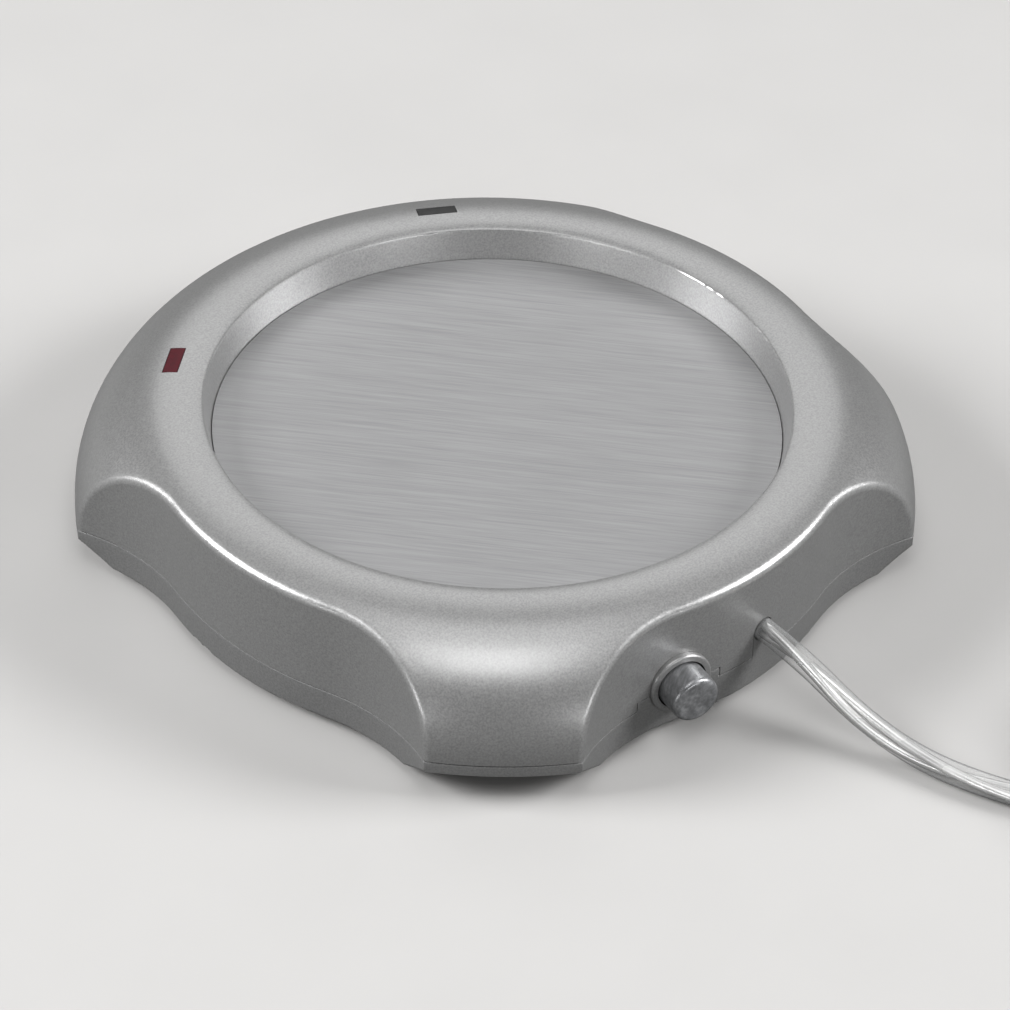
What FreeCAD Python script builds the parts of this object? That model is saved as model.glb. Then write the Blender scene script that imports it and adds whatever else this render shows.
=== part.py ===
import FreeCAD, Part
import math
import os

Vector = FreeCAD.Vector

# Electric mug warmer, millimetres, +Z up, standing on z = 0.
# The housing is drawn about the warming plate's axis and then moved along Y, so that the origin is the
# middle of the base's box. The cord's route is given in the moved frame.
plate_axis_y = -3.2

# Housing outline, seen from above: three lobes of one radius, with a shallow scallop between each pair
lobe_radius = 65.0
scallop_radius = 55.0
flank_radius = 33.0
scallop_half_turn = 34.84
scallop_directions = (180.0, 270.0, 360.0)

# Heights above the table
foot_rise = 1.5
bevel_height = 5.0
seam_height = 7.0
seam_gap = 0.15
plate_height = 19.0
rim_height = 24.0
wall = 1.6

# Dome of the top cover: three tangent arcs, from the rim of the recess out to the seam
crown_radius = 10.0
shoulder_radius = 16.9
side_radius = 18.0
shoulder_turn = 62.0
crease_radius = 1.5
bevel_radius = 60.2
edge_radius = 0.6

# Recess for the mug
recess_radius = 45.0
recess_foot_radius = 43.7
recess_lip_height = 18.2
rim_edge_radius = 0.7

# Plate, heater and shield stack
plate_radius = 43.6
plate_thickness = 1.0
plate_edge_chamfer = 0.25
flange_radius = 47.5
flange_drop = 2.4
heater_radius = 40.0
heater_thickness = 0.6
pad_thickness = 1.8
shield_thickness = 0.6
shield_pan_radius = 41.8
ear_radius = 2.8
stack_screw_circle = 50.0
stack_screw_directions = (90.0, 210.0, 330.0)
stack_boss_radius = 2.5

# Screw posts that hold the covers together, and the feet
post_circle = 56.0
post_radius = 3.2
post_directions = (45.0, 135.0, 225.0, 315.0)
post_joint_height = 8.0
boss_radius = 4.2
head_recess_radius = 2.9
head_seat_height = 4.2
foot_circle = 47.0
foot_radius = 5.0
foot_recess = 0.5
foot_names = ("foot_back_right", "foot_back_left", "foot_front_left", "foot_front_right")

# Indicator lenses in the broad lobe
lens_circle = 50.6
lens_directions = {"red": 124.7, "grey": 55.3}
lens_length = 6.2
lens_width = 2.3
lens_gap = 0.1
lens_flange_top = 21.9
lens_flange_thickness = 0.95

# Push button, its collar and its switch, on an axis that leaves the front scallop squarely
button_direction = 253.2
button_height = 9.4
cap_radius = 3.8
cap_tip = 60.3
cap_back = 49.9
cap_edge_radius = 0.8
cap_flange_radius = 4.8
cap_flange_thickness = 1.3
collar_radius = 5.1
collar_bore_radius = 4.1
collar_front = 56.0
collar_back = 51.6
collar_flange_radius = 6.1
button_tab_half_width = 7.4
button_tab_height = 8.5
plunger_side = 3.0
plunger_clearance = 0.3
switch_front = 44.5
switch_back = 30.5
switch_half_width = 4.25

# Control board under the heater, in the button's own radial frame
board_low_x, board_high_x = 18.0, 45.0
board_low_y, board_high_y = -16.0, 8.0
board_bottom = 3.9
board_thickness = 1.2
board_screw_places = ((20.5, -12.0), (20.5, 4.0))
heater_lead_places = ((24.0, -6.0), (24.0, -11.0))
supply_lead_ends = ((36.0, 6.2), (33.5, 6.2))

# Crescent board that carries the two lamps
lamp_board_inner, lamp_board_outer = 45.5, 56.5
lamp_board_half_turn = 40.0
lamp_board_bottom = 11.0
lamp_post_circle = 52.5
lamp_post_directions = (72.0, 108.0)

# Cord: a clear jacket with two bright conductors
cord_diameter = 3.6
cord_radius = cord_diameter / 2
cord_hole_radius = 1.95
cord_exit_height = 11.4
cord_inner_end = 43.0
clamp_near, clamp_far = 46.0, 51.3
clamp_half_width = 7.0
clamp_thickness = 1.5
clamp_screw_offset = 4.6
lead_radius = 0.6

# Route of the free cord from the housing to the coil, in the moved frame
exit_point = Vector(0.0, plate_axis_y - scallop_radius, cord_exit_height)
cord_route = [
    exit_point,
    Vector(0.2, -66.55, 10.4),
    Vector(1.6, -76.05, 5.4),
    Vector(3.2, -86.55, 1.95),
    Vector(5.4, -98.05, 1.9),
    Vector(10.5, -110.55, 2.3),
    Vector(10.5, -119.95, 2.3),
]

# Coil of the length that is put away: two layers of flat spiral, in and then out again
coil_start = Vector(10.5, -123.55, 2.3)
coil_outer_radius = 29.5
coil_quarters_in = 14
coil_quarters_out = 13
coil_pitch = 4.4
coil_layer_rise = 4.2
climb_draw_in = 0.6
tie_thickness = 0.4
tie_width = 6.0
tie_direction = 225.0

# Plug on the end of the cord
plug_length = 24.0
plug_width = 15.6
plug_height = 8.0
shell_length = 12.2
shell_width = 12.0
shell_height = 4.5
shell_thickness = 0.3
relief_length = 10.0
relief_radius = 3.0
plug_centre_height = 4.05


def polar(radius, direction, z=0.0):
    turn = math.radians(direction)
    return Vector(radius * math.cos(turn), radius * math.sin(turn), z)


def turned(shape, direction):
    # Turns a shape drawn with +X outward so that it points in the given direction
    copy = shape.copy()
    copy.rotate(Vector(0, 0, 0), Vector(0, 0, 1), direction)
    return copy


def box(low, high):
    size = [b - a for a, b in zip(low, high)]
    return Part.makeBox(size[0], size[1], size[2], Vector(*low))


def pillar(radius, low, high, place):
    return Part.makeCylinder(radius, high - low, Vector(place.x, place.y, low))


def rod(radius, start, end):
    # Round bar along X in a radial frame, at the button's height
    return Part.makeCylinder(radius, end - start, Vector(start, 0, button_height), Vector(1, 0, 0))


def arc(centre, radius, start, end):
    # Arc in the X-Z plane; angles are measured from +Z towards +X
    def at(angle):
        turn = math.radians(angle)
        return Vector(centre[0] + radius * math.sin(turn), 0, centre[1] + radius * math.cos(turn))

    return Part.Arc(at(start), at((start + end) / 2), at(end)).toShape()


def polyline(points):
    return [Part.LineSegment(a, b).toShape() for a, b in zip(points, points[1:])]


def spun(edges):
    # The solid swept by a closed section turned once about the plate's axis, with its skin facing out
    solid = Part.Face(Part.Wire(edges)).revolve(Vector(0, 0, 0), Vector(0, 0, 1), 360)
    if solid.Volume < 0:
        solid.reverse()
    return solid


def revolved(points):
    corners = [Vector(r, 0, z) for r, z in points]
    return spun(polyline(corners + corners[:1]))


def outline(inset=0.0):
    # The plan of the housing as a face on z = 0, moved inward by the inset
    reach = scallop_radius + flank_radius
    lobe, middle, flank = lobe_radius - inset, scallop_radius - inset, flank_radius + inset

    def corner_angle(lobe_r, flank_r):
        cosine = (lobe_r ** 2 + reach ** 2 - flank_r ** 2) / (2 * lobe_r * reach)
        return math.degrees(math.acos(cosine))

    tangent_turn = scallop_half_turn - corner_angle(lobe_radius, flank_radius)
    half_turn = tangent_turn + corner_angle(lobe, flank)

    def flank_arc(start, end, centre):
        middle_way = (start - centre).normalize() + (end - centre).normalize()
        return Part.Arc(start, centre + middle_way.normalize() * flank, end).toShape()

    edges = []
    for i, here in enumerate(scallop_directions):
        corners = [polar(lobe, here - half_turn), polar(lobe, here + half_turn)]
        tangents = [polar(middle, here - tangent_turn), polar(middle, here + tangent_turn)]
        centres = [polar(reach, here - tangent_turn), polar(reach, here + tangent_turn)]
        edges.append(flank_arc(corners[0], tangents[0], centres[0]))
        edges.append(Part.Arc(tangents[0], polar(middle, here), tangents[1]).toShape())
        edges.append(flank_arc(tangents[1], corners[1], centres[1]))
        following = scallop_directions[(i + 1) % 3] + (360.0 if i == 2 else 0.0)
        lobe_middle = (here + following) / 2
        edges.append(Part.Arc(corners[1], polar(lobe, lobe_middle), polar(lobe, following - half_turn)).toShape())
    return Part.Face(Part.Wire(edges))


def prism(low, high, inset=0.0):
    face = outline(inset)
    face.translate(Vector(0, 0, low))
    return face.extrude(Vector(0, 0, high - low))


def dome_edges(inset, inner_radius):
    # Section of the dome from the seam up and over to the given radius
    side_centre = (lobe_radius - side_radius, seam_height)
    turn = math.radians(shoulder_turn)
    step = side_radius - shoulder_radius
    shoulder_centre = (side_centre[0] + step * math.sin(turn), side_centre[1] + step * math.cos(turn))
    crown_centre = (shoulder_centre[0], shoulder_centre[1] + shoulder_radius - crown_radius)
    lean = math.degrees(math.asin((crown_centre[0] - inner_radius) / (crown_radius - inset)))
    return [
        arc(side_centre, side_radius - inset, 90.0, shoulder_turn),
        arc(shoulder_centre, shoulder_radius - inset, shoulder_turn, 0.0),
        arc(crown_centre, crown_radius - inset, 0.0, -lean),
    ]


def domed(inset, inner_radius, inner_points, low):
    edges = dome_edges(inset, inner_radius)
    start = edges[0].Vertexes[0].Point
    end = edges[-1].Vertexes[-1].Point
    closing = [end] + [Vector(r, 0, z) for r, z in inner_points] + [Vector(0, 0, low), Vector(start.x, 0, low)]
    if abs(low - start.z) > 1e-6:
        closing.append(start)
    return spun(edges + polyline(closing))


def crease_edges(shape, keep):
    # The edges where the domed or bevelled skin meets the upright scallop walls
    chosen = []
    for edge in shape.Edges:
        if edge.Degenerated:
            continue
        points = edge.discretize(5)
        if math.hypot(points[4].x - points[0].x, points[4].y - points[0].y) < 1e-3:
            continue
        inside = all(math.hypot(p.x, p.y) < lobe_radius + 0.01 for p in points)
        level = max(p.z for p in points) - min(p.z for p in points)
        on_wall = min(math.hypot(p.x, p.y) for p in points) > scallop_radius - 0.01
        if inside and on_wall and keep(points, level):
            chosen.append(edge)
    return chosen


def cord_hole():
    return Part.makeCylinder(cord_hole_radius, 8.0, Vector(0, -scallop_radius - 4.0, cord_exit_height), Vector(0, 1, 0))


def button_hole():
    return turned(rod(collar_radius + 0.05, scallop_radius - 4.0, scallop_radius + 4.0), button_direction)


def wall_ring(low, high, outer=0.0, inner=wall):
    return prism(low, high, outer).cut(prism(low - 1.0, high + 1.0, inner))


def cord_tab(side_gap, top):
    half = cord_hole_radius + side_gap
    return box((-half, -60.0, seam_height - 0.2), (half, -50.0, top))


def button_tab(side_gap, top):
    half = button_tab_half_width + side_gap
    return turned(box((50.0, -half, seam_height - 0.2), (60.0, half, top)), button_direction)


def lens_window(direction, gap, low, high):
    half_width, half_length = lens_width / 2 + gap, lens_length / 2 + gap
    low_corner = (lens_circle - half_width, -half_length, low)
    high_corner = (lens_circle + half_width, half_length, high)
    return turned(box(low_corner, high_corner), direction)


def dome_solid():
    return domed(0.0, recess_radius - 1.0, [(0.0, rim_height)], seam_height)


def top_cover():
    outer = dome_solid()
    outer = outer.common(prism(seam_height, rim_height + 2.0))
    creases = crease_edges(outer, lambda points, level: level > 0.3 or points[2].z > rim_height - 1.0)
    outer = outer.makeFillet(crease_radius, creases)
    inner_rim = recess_radius + wall
    hollow_points = [(recess_foot_radius + wall, recess_lip_height), (0.0, recess_lip_height)]
    hollow = domed(wall, inner_rim, hollow_points, seam_height - 1.0)
    hollow = hollow.common(prism(seam_height - 1.0, rim_height + 2.0, wall))
    shell = outer.cut(hollow)
    recess = Part.makeCone(recess_foot_radius, recess_radius, rim_height - recess_lip_height, Vector(0, 0, recess_lip_height))
    shell = shell.cut(recess.fuse(Part.makeCylinder(recess_radius, 3.0, Vector(0, 0, rim_height - 0.01))))
    rim = [e for e in shell.Edges if e.BoundBox.ZMin > rim_height - 0.3 and e.BoundBox.XMax < recess_radius + 0.1]
    shell = shell.makeFillet(rim_edge_radius, rim)
    for direction in post_directions:
        place = polar(post_circle, direction)
        post = pillar(post_radius, post_joint_height, rim_height, place).common(outer)
        shell = shell.fuse(post).cut(pillar(1.25, post_joint_height - 1.0, 17.0, place))
    for direction in stack_screw_directions:
        place = polar(stack_screw_circle, direction)
        boss = pillar(stack_boss_radius, plate_height - flange_drop + plate_thickness, rim_height, place).common(outer)
        shell = shell.fuse(boss).cut(pillar(1.15, 10.0, 21.5, place))
    for direction in lamp_post_directions:
        place = polar(lamp_post_circle, direction)
        post = pillar(2.3, lamp_board_bottom + board_thickness, rim_height, place).common(outer)
        shell = shell.fuse(post).cut(pillar(0.95, 10.0, 17.0, place))
    for direction in lens_directions.values():
        shell = shell.cut(lens_window(direction, lens_gap, 15.0, 30.0))
    for opening in (cord_hole(), cord_tab(0.1, cord_exit_height), button_hole(), button_tab(0.15, button_tab_height + 0.1)):
        shell = shell.cut(opening)
    return shell.removeSplitter()


def bottom_cover():
    top = seam_height - seam_gap
    skin = revolved([(0, foot_rise), (bevel_radius, foot_rise), (lobe_radius, bevel_height), (lobe_radius, top), (0, top)])
    skin = skin.common(prism(foot_rise, top))
    low_edges = crease_edges(skin, lambda points, level: level > 0.3 and points[2].z < bevel_height)
    low_edges += [e for e in skin.Edges if abs(e.BoundBox.ZMax - foot_rise) < 0.01 and e.BoundBox.ZLength < 0.01]
    skin = skin.makeFillet(edge_radius, low_edges)
    floor_top = foot_rise + wall
    hollow = revolved([(0, floor_top), (bevel_radius - 0.6, floor_top), (lobe_radius - wall, bevel_height + 0.6),
                       (lobe_radius - wall, top + 1), (0, top + 1)])
    shell = skin.cut(hollow.common(prism(floor_top, top + 1, wall)))
    shell = shell.fuse(wall_ring(5.2, top, wall - 0.4, wall + 0.9))
    shell = shell.fuse(wall_ring(top - 0.1, seam_height + 1.2, wall + 0.15, wall + 0.9))
    shell = shell.fuse(wall_ring(top - 0.1, button_tab_height).common(button_tab(0.0, button_tab_height)))
    shell = shell.fuse(wall_ring(top - 0.1, cord_exit_height).common(cord_tab(0.0, cord_exit_height)))
    for direction in post_directions:
        place = polar(post_circle, direction)
        shell = shell.fuse(pillar(boss_radius, foot_rise + 0.5, post_joint_height, place))
        shell = shell.cut(pillar(head_recess_radius, 0.0, head_seat_height, place))
        shell = shell.cut(pillar(1.5, 0.0, post_joint_height + 1.0, place))
    for direction in post_directions:
        shell = shell.cut(pillar(foot_radius + 0.1, 0.0, foot_rise + foot_recess, polar(foot_circle, direction)))
    for x, y in board_screw_places:
        place = turned(Part.Vertex(x, y, 0), button_direction).Point
        shell = shell.fuse(pillar(2.4, floor_top - 0.1, board_bottom, place)).cut(pillar(0.95, 2.3, 5.0, place))
    clamp_top = cord_exit_height + cord_radius
    anvil = box((-clamp_half_width, -clamp_far, floor_top - 0.1), (clamp_half_width, -clamp_near, clamp_top))
    channel = box((-cord_radius - 0.1, -clamp_far - 1, cord_exit_height - cord_radius), (cord_radius + 0.1, -clamp_near + 1, 20))
    shell = shell.fuse(anvil).cut(channel)
    for side in (-1, 1):
        shell = shell.cut(pillar(0.95, 7.0, 20.0, Vector(side * clamp_screw_offset, -(clamp_near + clamp_far) / 2, 0)))
    shell = shell.cut(cord_hole()).cut(button_hole())
    shell = shell.cut(turned(rod(collar_flange_radius + 0.3, 46.0, scallop_radius - wall - 0.1), button_direction))
    return shell.cut(vent_slots()).cut(label_recess()).removeSplitter()


def vent_slots():
    slots = []
    for row in range(5):
        for side in (-1, 1):
            y = 14.0 + row * 4.0
            middle = box((side * 11.0 - 6.0, y - 0.8, 0.0), (side * 11.0 + 6.0, y + 0.8, 6.0))
            ends = [pillar(0.8, 0.0, 6.0, Vector(side * 11.0 + end, y, 0)) for end in (-6.0, 6.0)]
            slots.append(middle.multiFuse(ends))
    return Part.makeCompound(slots)


def label_recess():
    return box((-21.0, -13.0, 0.0), (21.0, 7.0, foot_rise + 0.3))


def ears(low, high):
    shapes = []
    for direction in stack_screw_directions:
        arm = box((flange_radius - 3.0, -ear_radius, low), (stack_screw_circle, ear_radius, high))
        end = pillar(ear_radius, low, high, Vector(stack_screw_circle, 0, 0))
        hole = pillar(1.3, low - 1, high + 1, Vector(stack_screw_circle, 0, 0))
        shapes.append((turned(arm.fuse(end), direction), turned(hole, direction)))
    return shapes


def with_ears(disc, low, high):
    for ear, hole in ears(low, high):
        disc = disc.fuse(ear).cut(hole)
    return disc.removeSplitter()


def warming_plate():
    low = plate_height - flange_drop
    inner = plate_radius - plate_thickness
    disc = revolved([(0, plate_height), (plate_radius - plate_edge_chamfer, plate_height),
                     (plate_radius, plate_height - plate_edge_chamfer), (plate_radius, low + plate_thickness),
                     (flange_radius, low + plate_thickness), (flange_radius, low), (inner, low),
                     (inner, plate_height - plate_thickness), (0, plate_height - plate_thickness)])
    return with_ears(disc, low, low + plate_thickness)


def plate_seal():
    low = plate_height - flange_drop + plate_thickness
    return revolved([(plate_radius + 0.4, low), (flange_radius - 0.7, low),
                     (flange_radius - 0.7, recess_lip_height), (plate_radius + 0.4, recess_lip_height)])


def lead_holes():
    holes = [pillar(1.5, 10.0, 18.0, Vector(x, y, 0)) for x, y in heater_lead_places]
    return turned(Part.makeCompound(holes), button_direction)


def heater_disc():
    top = plate_height - plate_thickness
    return Part.makeCylinder(heater_radius, heater_thickness, Vector(0, 0, top - heater_thickness))


def insulation_pad():
    top = plate_height - plate_thickness - heater_thickness
    return Part.makeCylinder(heater_radius, pad_thickness, Vector(0, 0, top - pad_thickness)).cut(lead_holes())


def heat_shield():
    flange_top = plate_height - flange_drop
    floor_top = plate_height - plate_thickness - heater_thickness - pad_thickness
    t = shield_thickness
    pan = revolved([(0, floor_top - t), (shield_pan_radius, floor_top - t), (shield_pan_radius, flange_top - t),
                    (flange_radius, flange_top - t), (flange_radius, flange_top),
                    (shield_pan_radius - t, flange_top), (shield_pan_radius - t, floor_top), (0, floor_top)])
    return with_ears(pan, flange_top - t, flange_top).cut(lead_holes())


def screw(place, seat, tip, head_radius, shaft_radius, head_height, up=1):
    # A cross-head screw whose head bears on the seat and whose shank runs to the tip
    far = seat - up * head_height
    head = pillar(head_radius, min(seat, far), max(seat, far), place)
    shank = pillar(shaft_radius, min(seat, tip), max(seat, tip), place)
    slot = head_radius * 0.6
    edge = 0.15 * head_radius
    low, high = sorted((far - up * 1.0, far + up * head_height * 0.5))
    cross = box((place.x - slot, place.y - edge, low), (place.x + slot, place.y + edge, high))
    cross = cross.fuse(box((place.x - edge, place.y - slot, low), (place.x + edge, place.y + slot, high)))
    return head.fuse(shank).cut(cross)


def stack_screws():
    seat = plate_height - flange_drop - shield_thickness
    return [screw(polar(stack_screw_circle, d), seat, 21.0, 2.3, 1.1, 1.5) for d in stack_screw_directions]


def cover_screws():
    return [screw(polar(post_circle, d), head_seat_height, 15.5, 2.4, 1.2, 1.8) for d in post_directions]


def foot(direction):
    place = polar(foot_circle, direction)
    pad = pillar(foot_radius, 0.0, foot_rise + foot_recess, place)
    low_edge = [e for e in pad.Edges if e.BoundBox.ZMax < 0.01]
    return pad.makeChamfer(0.4, low_edge)


def lens(direction):
    window = lens_window(direction, 0.0, lens_flange_top - lens_flange_thickness, rim_height + 2.0)
    window = window.common(dome_solid())
    flange = lens_window(direction, 1.0, lens_flange_top - lens_flange_thickness, lens_flange_top)
    guide = pillar(1.5, 18.4, lens_flange_top, polar(lens_circle, direction))
    return window.fuse([flange, guide]).removeSplitter()


def lamp(direction):
    place = polar(lens_circle, direction)
    base = lamp_board_bottom + board_thickness
    body = pillar(1.9, base, base + 0.9, place).fuse(pillar(1.5, base, base + 4.2, place))
    return body.fuse(Part.makeSphere(1.5, Vector(place.x, place.y, base + 4.2))).removeSplitter()


def crescent(inner, outer, low, high, middle, half_turn):
    points = [(inner, -half_turn), (inner, 0), (inner, half_turn), (outer, half_turn), (outer, 0), (outer, -half_turn)]
    p = [polar(r, middle + a, low) for r, a in points]
    edges = [Part.Arc(p[0], p[1], p[2]).toShape(), Part.LineSegment(p[2], p[3]).toShape(),
             Part.Arc(p[3], p[4], p[5]).toShape(), Part.LineSegment(p[5], p[0]).toShape()]
    return Part.Face(Part.Wire(edges)).extrude(Vector(0, 0, high - low))


def lamp_board():
    top = lamp_board_bottom + board_thickness
    board = crescent(lamp_board_inner, lamp_board_outer, lamp_board_bottom, top, 90.0, lamp_board_half_turn)
    for direction in lamp_post_directions:
        board = board.cut(pillar(1.05, 0.0, 20.0, polar(lamp_post_circle, direction)))
    return board


def control_board():
    top = board_bottom + board_thickness
    board = box((board_low_x, board_low_y, board_bottom), (board_high_x, board_high_y, top))
    for x, y in board_screw_places:
        board = board.cut(pillar(1.05, 0.0, 10.0, Vector(x, y, 0)))
    return turned(board, button_direction)


def board_screws():
    seat = board_bottom + board_thickness
    shapes = [turned(screw(Vector(x, y, 0), seat, 2.5, 1.8, 0.9, 1.2, -1), button_direction) for x, y in board_screw_places]
    for direction in lamp_post_directions:
        shapes.append(screw(polar(lamp_post_circle, direction), lamp_board_bottom, 16.5, 1.8, 0.9, 1.2))
    return shapes


def board_parts():
    # Two resistors and a round capacitor, standing on the control board
    top = board_bottom + board_thickness
    resistors = [Part.makeCylinder(1.0, 5.0, Vector(37.0, y, top + 1.0), Vector(1, 0, 0)) for y in (-7.5, -11.0)]
    capacitor = pillar(2.5, top, top + 5.0, Vector(32.5, -10.5, 0))
    return [turned(shape, button_direction) for shape in resistors + [capacitor]]


def button_cap():
    body = rod(cap_radius, cap_back, cap_tip)
    front_edge = [e for e in body.Edges if e.BoundBox.XMin > cap_tip - 0.01]
    body = body.makeFillet(cap_edge_radius, front_edge)
    flange = rod(cap_flange_radius, cap_back, cap_back + cap_flange_thickness)
    half = plunger_side / 2
    socket = box((cap_back - 1, -half, button_height - half), (cap_tip - 3.3, half, button_height + half))
    return turned(body.fuse(flange).cut(socket).removeSplitter(), button_direction)


def button_collar():
    ring = rod(collar_radius, collar_back, collar_front)
    front_edge = [e for e in ring.Edges if e.BoundBox.XMin > collar_front - 0.01]
    ring = ring.makeFillet(0.4, front_edge)
    ring = ring.fuse(rod(collar_flange_radius, collar_back, collar_back + 1.0))
    return turned(ring.cut(rod(collar_bore_radius, collar_back - 1, collar_front + 1)).removeSplitter(), button_direction)


def switch_plunger():
    half = plunger_side / 2
    bar = box((36.0, -half, button_height - half), (cap_tip - 3.3, half, button_height + half))
    return turned(bar, button_direction)


def push_switch():
    low = board_bottom + board_thickness
    body = box((switch_back, -switch_half_width, low), (switch_front, switch_half_width, low + 2 * switch_half_width))
    half = plunger_side / 2 + plunger_clearance
    bore = box((switch_back + 2.5, -half, button_height - half), (switch_front + 1, half, button_height + half))
    return turned(body.cut(bore), button_direction)


def return_spring():
    return turned(rod(3.2, switch_front, cap_back).cut(rod(2.4, switch_front - 1, cap_back + 1)), button_direction)


def thermal_cutout():
    low = plate_height - plate_thickness - heater_thickness - pad_thickness - shield_thickness
    body = Part.makeCylinder(1.8, 11.0, Vector(-22.0, 4.5, low - 2.0), Vector(0, 1, 0))
    wires = Part.makeCylinder(0.5, 21.0, Vector(-22.0, -0.5, low - 2.0), Vector(0, 1, 0))
    return body.fuse(wires).removeSplitter()


def cutout_clip():
    low = plate_height - plate_thickness - heater_thickness - pad_thickness - shield_thickness
    strap = box((-28.0, 7.0, low - 0.5), (-16.0, 13.0, low))
    loop = Part.makeCylinder(2.5, 6.0, Vector(-22.0, 7.0, low - 2.0), Vector(0, 1, 0))
    bore = Part.makeCylinder(1.95, 8.0, Vector(-22.0, 6.0, low - 2.0), Vector(0, 1, 0))
    return strap.fuse(loop.common(box((-30, 0, 0), (-10, 20, low)))).cut(bore).removeSplitter()


def cord_clamp():
    low = cord_exit_height + cord_radius
    bar = box((-clamp_half_width, -clamp_far, low), (clamp_half_width, -clamp_near, low + clamp_thickness))
    for side in (-1, 1):
        bar = bar.cut(pillar(1.1, 0.0, 30.0, Vector(side * clamp_screw_offset, -(clamp_near + clamp_far) / 2, 0)))
    return bar


def clamp_screws():
    seat = cord_exit_height + cord_radius + clamp_thickness
    middle = -(clamp_near + clamp_far) / 2
    return [screw(Vector(side * clamp_screw_offset, middle, 0), seat, 7.5, 1.8, 0.9, 1.0, -1) for side in (-1, 1)]


def cord_inner_end_piece():
    length = scallop_radius - cord_inner_end
    return Part.makeCylinder(cord_radius, length, Vector(0, -scallop_radius, cord_exit_height), Vector(0, 1, 0))


def bend_mid(start, tangent, end):
    # Point half way along the arc that leaves the start along the tangent and reaches the end
    chord = end - start
    along = Vector(chord).normalize()
    side = tangent - along * tangent.dot(along)
    if side.Length < 1e-9:
        return None
    half_angle = math.acos(max(-1.0, min(1.0, tangent.dot(along)))) / 2
    return (start + end) * 0.5 + side.normalize() * (chord.Length / 2 * math.tan(half_angle))


def route_edges(points, label=None):
    # Straight runs joined by tangent arcs, each as large as its two runs allow
    edges, radii = [], []
    here = points[0]
    for before, corner, after in zip(points, points[1:], points[2:]):
        first, second = corner - before, after - corner
        shorter = min(first.Length, second.Length)
        way_in, way_out = first.normalize(), second.normalize()
        half_turn = way_in.getAngle(way_out) / 2
        reach = 0.45 * shorter
        radii.append(reach / math.tan(half_turn))
        start, end = corner - way_in * reach, corner + way_out * reach
        edges.append(Part.LineSegment(here, start).toShape())
        edges.append(Part.Arc(start, bend_mid(start, way_in, end), end).toShape())
        here = end
    edges.append(Part.LineSegment(here, points[-1]).toShape())
    if label:
        print(label, "radii", [round(r, 1) for r in radii])
    return edges


def tube(edges, radius, label=None):
    path = Part.Wire(edges)
    start = edges[0].Vertexes[0].Point
    way = edges[0].tangentAt(edges[0].FirstParameter)
    section = Part.Wire(Part.Circle(start, way, radius).toShape())
    solid = path.makePipeShell([section], True, False)
    solid = Part.Solid(solid) if solid.ShapeType == "Shell" else solid
    if label:
        expected = math.pi * radius ** 2 * path.Length
        print(label, "length", round(path.Length, 1), "volume ratio", round(solid.Volume / expected, 4), solid.isValid())
    return solid


def lead(points, direction=0.0):
    return turned(tube(route_edges([Vector(*p) for p in points]), lead_radius), direction)


def supply_leads():
    top = board_bottom + board_thickness
    z = cord_exit_height
    leads = []
    for x, bend_y, end in ((-0.8, -40.5, supply_lead_ends[0]), (0.8, -39.0, supply_lead_ends[1])):
        pad = polar(end[0], button_direction) + polar(end[1], button_direction + 90.0)
        points = [(x, -cord_inner_end, z), (x, bend_y, z), (pad.x, pad.y, z - 2.0), (pad.x, pad.y, top)]
        leads.append(lead(points))
    return leads


def heater_leads():
    top = board_bottom + board_thickness
    heater_bottom = plate_height - plate_thickness - heater_thickness
    leads = []
    for x, y in heater_lead_places:
        points = [(x, y, heater_bottom), (x, y, 13.5), (x + 3, y - 1, 9.5), (x + 3, y - 1, top)]
        leads.append(lead(points, button_direction))
    return leads


def lamp_leads():
    top = board_bottom + board_thickness
    leads = []
    for x in (-2.0, 0.0, 2.0):
        points = [(x, 48.0, lamp_board_bottom), (x, 48.0, 8.6), (x, 40.0, 7.0), (x + 3, 10.0, 7.4),
                  (x - 3.0, -10.0, 7.2), (x - 4.2, -24.0, 8.2), (x - 4.2, -24.0, top)]
        leads.append(lead(points))
    return leads


def biarc(start, way_in, end, way_out):
    # Two arcs that join two points along their given directions
    v, t = end - start, way_in + way_out
    spread = 2 * (1 - way_in.dot(way_out))
    reach = (-v.dot(t) + math.sqrt(v.dot(t) ** 2 + spread * v.dot(v))) / spread
    joint = (start + way_in * reach + end - way_out * reach) * 0.5
    way = (end - way_out * reach - start - way_in * reach).normalize()
    first = Part.Arc(start, bend_mid(start, way_in, joint), joint).toShape()
    second = Part.Arc(joint, bend_mid(joint, way, end), end).toShape()
    return [first, second]


def coil_centre():
    return coil_start + Vector(coil_outer_radius, 0, 0)


def coil_inner_radius():
    return coil_outer_radius - coil_pitch * coil_quarters_in / 4


def coil_knots():
    # Points and headings every quarter turn: a spiral in, a half turn that climbs, a spiral out
    climb_end = coil_quarters_in + 2
    total = climb_end + coil_quarters_out
    centre = coil_centre()
    inner = coil_inner_radius()
    knots = []
    for i in range(total + 1):
        turn = math.radians(180.0 + 90.0 * i)
        if i <= coil_quarters_in:
            radius, slope, rise, climb = coil_outer_radius - coil_pitch * i / 4, -coil_pitch, 0.0, 0.0
        elif i >= climb_end:
            radius, slope = inner + coil_pitch * (i - climb_end) / 4, coil_pitch
            rise, climb = coil_layer_rise, 0.0
        else:
            radius, slope, rise, climb = inner - climb_draw_in, 0.0, coil_layer_rise / 2, coil_layer_rise * 3
        if i in (0, coil_quarters_in, climb_end, total):
            slope = 0.0
        out = Vector(math.cos(turn), math.sin(turn), 0)
        around = Vector(-math.sin(turn), math.cos(turn), 0)
        way = around * radius + out * (slope / (2 * math.pi)) + Vector(0, 0, climb / (2 * math.pi))
        knots.append((centre + out * radius + Vector(0, 0, rise), way.normalize()))
    return knots


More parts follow.
